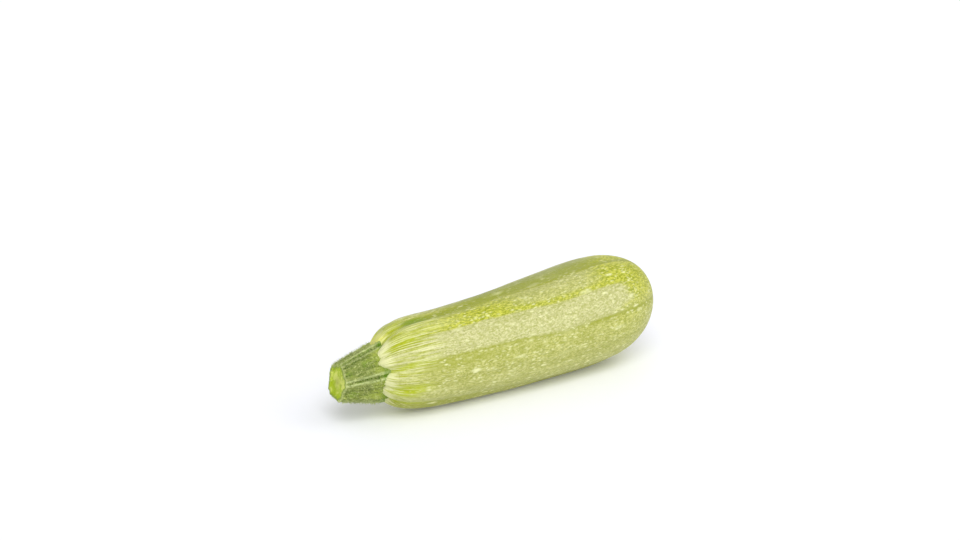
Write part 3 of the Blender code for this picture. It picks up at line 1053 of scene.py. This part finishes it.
# Ends of a marking along the stem: where it is nothing, then where it is full
NEAR_FRUIT = (-0.0050, 0.0010)
NEAR_FRUIT_CLOUDS = 0.012
NOTCH_DARKENS = (-0.012, -0.003)
STEM_SEAM = (0.0020, 0.0042)
CUT_HALF = (0.0, -0.010)
FRINGE_WIDTH = 0.0016


class StemSurface(Surface):
    """The stem's surface, with the noises that its finish uses."""

    def __init__(self, nodes):
        super().__init__(nodes)
        self.corner, _, self.face = nodes.parts(kept(nodes, "lobes"))
        place = nodes.add("ShaderNodeTexCoord", {}, {}, "Object")
        self.ridges = self.lengthwise(RIDGE_CIRCLE, RIDGE_WAVES, 3.0, 0.65)
        self.streaks = self.lengthwise(*STEM_STREAKS, 3.0, 0.65)
        self.flecks = self.lengthwise(*STEM_FLECKS, 2.0, 0.6)
        self.cloud = nodes.noise(place, STEM_CLOUD_SIZE, 2.0, 0.5)
        self.grain = nodes.noise(place, STEM_GRAIN_SIZE, 2.0, 0.6)


def stem_sides(stem):
    """Dull green to grey, brighter in clouds, yellower at the fruit and underneath, dull in the hollows."""
    nodes = stem.nodes
    tone = nodes.ease(stem.ridges * 0.4 + stem.streaks * 0.3 + stem.flecks * 0.3, 0.43, 0.56)
    surface = nodes.mix(tone, STEM_DULL, STEM_GREY)
    bright = nodes.ease(stem.cloud, 0.48, 0.62) * nodes.ease(stem.corner, 0.2, -0.6)
    surface = nodes.mix(bright * 0.6, surface, STEM_BRIGHT)
    near_fruit = nodes.ease(stem.along + (stem.cloud - 0.5) * NEAR_FRUIT_CLOUDS, *NEAR_FRUIT)
    surface = nodes.mix(near_fruit * 0.70, surface, STEM_YELLOW)
    hollow = nodes.ease(stem.corner, 0.35, -0.55) * nodes.ease(stem.streaks, 0.58, 0.44)
    hollow = hollow * nodes.ease(stem.raised, -0.7, 0.2)
    surface = nodes.mix(hollow * 0.45, surface, STEM_DULL)
    lower = nodes.ease(stem.raised, 0.0, -0.7) * nodes.ease(stem.grain, 0.42, 0.58)
    return nodes.mix(lower * 0.40, surface, STEM_YELLOW)


def stem_corners(stem, surface):
    """A dark jagged notch down each corner, with a pale crest on both sides of it."""
    nodes = stem.nodes
    crest = nodes.ease(stem.corner, 0.58, 0.84) * nodes.ease(stem.corner, 0.985, 0.93)
    surface = nodes.mix(crest * (0.35 + 1.1 * stem.streaks), surface, STEM_CREST)
    notch = nodes.ease(stem.corner + (stem.flecks - 0.5) * 0.22, 0.945, 0.995)
    notch = notch * (0.45 + 0.55 * nodes.ease(stem.along, *NOTCH_DARKENS))
    return nodes.mix(notch, surface, STEM_NOTCH)


def stem_trim(stem, surface):
    """Pale flecks, a pale fringe at the cut, and a green seam at the fruit."""
    nodes = stem.nodes
    flecks = nodes.ease(stem.grain * 0.6 + stem.flecks * 0.4, 0.53, 0.62)
    surface = nodes.mix(flecks * 0.85, surface, STEM_PALE)
    fringe = nodes.ease(stem.along, -STEM_OUT + FRINGE_WIDTH, -STEM_OUT)
    surface = nodes.mix(fringe * (0.2 + 0.8 * stem.grain), surface, STEM_PALE)
    seam = nodes.ease(stem.along, *STEM_SEAM)
    return nodes.mix(seam * 0.6, surface, STEM_NOTCH)


def cut_flesh(stem):
    """Moist green flesh with pale clouds and a pale heart, darker at its edge."""
    nodes = stem.nodes
    clouds = nodes.ease(stem.cloud + (stem.grain - 0.5) * 0.6, 0.42, 0.62)
    flesh = nodes.mix(clouds, CUT_GREEN, CUT_PALE)
    heart = nodes.ease(stem.face + (stem.cloud - 0.5) * 0.5, 0.42, 0.16)
    flesh = nodes.mix(heart * 0.7, flesh, CUT_PALE)
    edge = nodes.ease(stem.face + (stem.grain - 0.5) * 0.2, 0.80, 0.93)
    return nodes.mix(edge * 0.8, flesh, CUT_DARK)


def stem_finish():
    """Dull grey-green stem: pale crests beside a dark notch at each corner, streaks, a moist cut face."""
    material, nodes, shader = new_finish("courgette_stem")
    stem = StemSurface(nodes)
    surface = stem_sides(stem)
    surface = stem_corners(stem, surface)
    surface = stem_trim(stem, surface)
    on_cut = nodes.ease(stem.face, 0.985, 0.955) * nodes.ease(stem.along, *CUT_HALF)
    surface = nodes.mix(on_cut, surface, cut_flesh(stem))
    link(surface, shader.inputs["Base Color"])

    roughness = 0.66 - 0.18 * on_cut + 0.12 * (stem.grain - 0.5)
    link(roughness, shader.inputs["Roughness"])
    height = stem.streaks * 2.2 + stem.flecks * 1.4 + stem.grain * 1.2 + stem.cloud * 0.8
    add_relief(nodes, height, shader)
    shader.inputs["Specular IOR Level"].default_value = SHINE
    return material


HAIR_DARK = colour(168, 184, 96)
HAIR_LIGHT = colour(218, 226, 152)
HAIR_SHADE_SIZE = 700.0


def hair_finish():
    material, nodes, shader = new_finish("stem_hair")
    place = nodes.add("ShaderNodeTexCoord", {}, {}, "Object")
    shade = nodes.noise(place, HAIR_SHADE_SIZE)
    link(nodes.mix(nodes.ease(shade, 0.35, 0.65), HAIR_DARK, HAIR_LIGHT), shader.inputs["Base Color"])
    link(0.45 + 0.2 * shade, shader.inputs["Roughness"])
    return material


# Floor, light and camera

FLOOR_SIZE = 3.0
FLOOR_DROP = 0.00003
FLOOR_GLOW = 0.10
FLOOR_DARK = colour(244, 245, 252)
FLOOR_LIGHT = colour(246, 247, 253)
FLOOR_SHADE_SIZE = 3.0
WHITE = (1.0, 1.0, 1.0, 1.0)
AIR = 0.50
LAMPS = (
    # name, where it shines from, its spread in degrees, its strength
    ("key", (-0.40, -0.58, 0.71), 38.0, 1.62),
    ("fill", (0.50, -0.60, 0.62), 60.0, 0.68),
    ("rim", (0.55, 0.75, 0.34), 40.0, 0.28),
)


def floor_finish():
    """Near white and matt, with a faint glow that keeps shadows light."""
    material, nodes, shader = new_finish("studio_floor")
    place = nodes.add("ShaderNodeTexCoord", {}, {}, "Object")
    shade = nodes.noise(place, FLOOR_SHADE_SIZE)
    link(nodes.mix(shade, FLOOR_DARK, FLOOR_LIGHT), shader.inputs["Base Color"])
    link(0.6 + 0.1 * shade, shader.inputs["Roughness"])
    shader.inputs["Emission Color"].default_value = WHITE
    shader.inputs["Emission Strength"].default_value = FLOOR_GLOW
    shader.inputs["Specular IOR Level"].default_value = SHINE
    return material


def make_floor():
    half = FLOOR_SIZE / 2
    mesh = bpy.data.meshes.new("studio_floor")
    edge = [(-half, -half), (half, -half), (half, half), (-half, half)]
    mesh.from_pydata([(x, y, -FLOOR_DROP) for x, y in edge], [], [(0, 1, 2, 3)])
    mesh.materials.append(floor_finish())
    floor = bpy.data.objects.new("studio_floor", mesh)
    bpy.context.scene.collection.objects.link(floor)


def make_light():
    """A plain white room and three broad soft lamps far off, so that the floor is evenly lit."""
    world = bpy.data.worlds.new("white_room")
    world.use_nodes = True
    room = world.node_tree.nodes["Background"]
    room.inputs["Color"].default_value = WHITE
    room.inputs["Strength"].default_value = AIR
    bpy.context.scene.world = world
    for name, side, spread, strength in LAMPS:
        data = bpy.data.lights.new(name, "SUN")
        data.angle = math.radians(spread)
        data.energy = strength
        lamp = bpy.data.objects.new(name, data)
        lamp.location = side
        lamp.rotation_euler = (-Vector(side)).to_track_quat("-Z", "Y").to_euler()
        bpy.context.scene.collection.objects.link(lamp)


def make_camera():
    level = math.cos(CAMERA_HEIGHT_ANGLE)
    across = -math.sin(CAMERA_TURN) * level
    forward = -math.cos(CAMERA_TURN) * level
    back = Vector((across, forward, math.sin(CAMERA_HEIGHT_ANGLE)))
    data = bpy.data.cameras.new("camera")
    data.lens = CAMERA_LENS
    data.clip_end = CAMERA_REACH
    camera = bpy.data.objects.new("camera", data)
    camera.location = Vector(CAMERA_TARGET) + back * CAMERA_DISTANCE
    camera.rotation_euler = (-back).to_track_quat("-Z", "Y").to_euler()
    bpy.context.scene.collection.objects.link(camera)
    bpy.context.scene.camera = camera


def make_courgette():
    """Grows the three pieces, puts them under one root body and hides the imported fruit and stem."""
    fruit = grow("courgette_fruit", fruit_tree(), FRUIT_INPUTS, skin_finish())
    stem = grow("courgette_stem", stem_tree(), STEM_INPUTS, stem_finish())
    place_by_frame(fruit, [stem])
    hairs = grow("courgette_stem_hairs", hair_tree(), HAIR_INPUTS, hair_finish(), stem.data.copy())
    for piece, slot in ((fruit, "fruit"), (stem, "stem"), (hairs, "stem")):
        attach(piece, "root")
    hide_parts("fruit")
    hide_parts("stem")


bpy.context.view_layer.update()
make_camera()
make_light()
make_floor()
make_courgette()
bpy.context.scene.view_settings.view_transform = "Standard"
